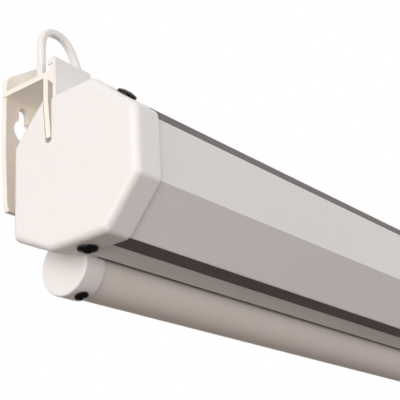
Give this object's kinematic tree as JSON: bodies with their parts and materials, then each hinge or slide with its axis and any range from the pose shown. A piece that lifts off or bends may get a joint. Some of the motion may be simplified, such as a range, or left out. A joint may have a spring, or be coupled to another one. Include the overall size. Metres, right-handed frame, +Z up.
{
  "type": "pull-down projector screen",
  "caption": "Pull-down projection screen in a long faceted case, with a spring roller, white fabric, weight bar and pull handle, hung from wall brackets with top hoops.",
  "frame": {"origin": "on the wall, halfway between the wall plates, at the height where the fixing screws sit in the top of the keyholes", "axes": "+X along the case, seen from the front to the right; +Y into the wall; +Z up"},
  "size_m": [1.9, 0.0971, 0.2079],
  "materials": {
    "painted_case": "white powder coat on extruded aluminium",
    "painted_bar": "white powder coat on aluminium tube",
    "dark_trim": "satin dark grey inlay",
    "cap_plastic": "warm white moulded, soft sheen",
    "bracket_plastic": "cream white moulded, soft sheen",
    "black_screw": "black coated steel",
    "bare_steel": "zinc plated",
    "grey_plastic": "moulded grey",
    "screen_fabric": "matt white coated projection fabric"
  },
  "bodies": {
    "housing": {"case_profile": "painted_case", "upper_trim_strip": "dark_trim", "lower_trim_strip": "dark_trim", "left_end_cap": "cap_plastic", "right_end_cap": "cap_plastic", "left_cap_upper_screw": "black_screw", "right_cap_upper_screw": "black_screw", "left_cap_lower_screw": "black_screw", "right_cap_lower_screw": "black_screw", "left_wall_bracket": "bracket_plastic", "right_wall_bracket": "bracket_plastic", "spring_end_plate": "bare_steel", "idler_end_plate": "bare_steel", "left_plate_front_screw": "bare_steel", "right_plate_front_screw": "bare_steel", "left_plate_rear_screw": "bare_steel", "right_plate_rear_screw": "bare_steel", "idler_bush": "grey_plastic", "spring_shaft": "bare_steel", "torsion_spring": "bare_steel", "spring_collar": "bare_steel", "ratchet_hub": "bare_steel", "fabric_drop": "screen_fabric"},
    "roller": {"roller_tube": "bare_steel", "ratchet_plug": "grey_plastic", "upper_pawl_pin": "bare_steel", "lower_pawl_pin": "bare_steel", "shaft_steady": "grey_plastic", "idler_plug": "grey_plastic", "idler_pin": "bare_steel", "fabric_roll": "screen_fabric"},
    "upper_pawl": {"upper_pawl": "bare_steel"},
    "lower_pawl": {"lower_pawl": "bare_steel"},
    "weight_bar": {"bar_tube": "painted_bar", "left_bar_cap": "cap_plastic", "right_bar_cap": "cap_plastic", "left_bar_cap_screw": "black_screw", "right_bar_cap_screw": "black_screw", "fabric_hem": "screen_fabric", "hem_rod": "bare_steel", "handle_saddle": "cap_plastic", "left_saddle_screw": "black_screw", "right_saddle_screw": "black_screw", "handle_pin": "bare_steel"},
    "pull_handle": {"pull_handle": "cap_plastic"}
  },
  "joints": [
    {"name": "screen_drop", "type": "slide", "parent": "housing", "child": "weight_bar", "axis": [0, 0, -1], "range_m": [0, 1.357], "deforming": ["fabric_drop"]},
    {"name": "roller_spin", "type": "hinge", "parent": "housing", "child": "roller", "pos_m": [0, -0.05045, -0.0457], "axis": [-1, 0, 0], "range_deg": [0, 3240]},
    {"name": "upper_pawl_swing", "type": "hinge", "parent": "roller", "child": "upper_pawl", "pos_m": [-0.9288, -0.05845, -0.0331], "axis": [-1, 0, 0], "range_deg": [-25, 20]},
    {"name": "lower_pawl_swing", "type": "hinge", "parent": "roller", "child": "lower_pawl", "pos_m": [-0.9288, -0.04245, -0.0583], "axis": [-1, 0, 0], "range_deg": [-25, 20]},
    {"name": "handle_swing", "type": "hinge", "parent": "weight_bar", "child": "pull_handle", "pos_m": [0, -0.0259, -0.1175], "axis": [1, 0, 0], "range_deg": [-85, 85]}
  ],
  "couplings": [
    {"joint": "roller_spin", "follows": "screen_drop", "rad_per_m": 41.667}
  ]
}
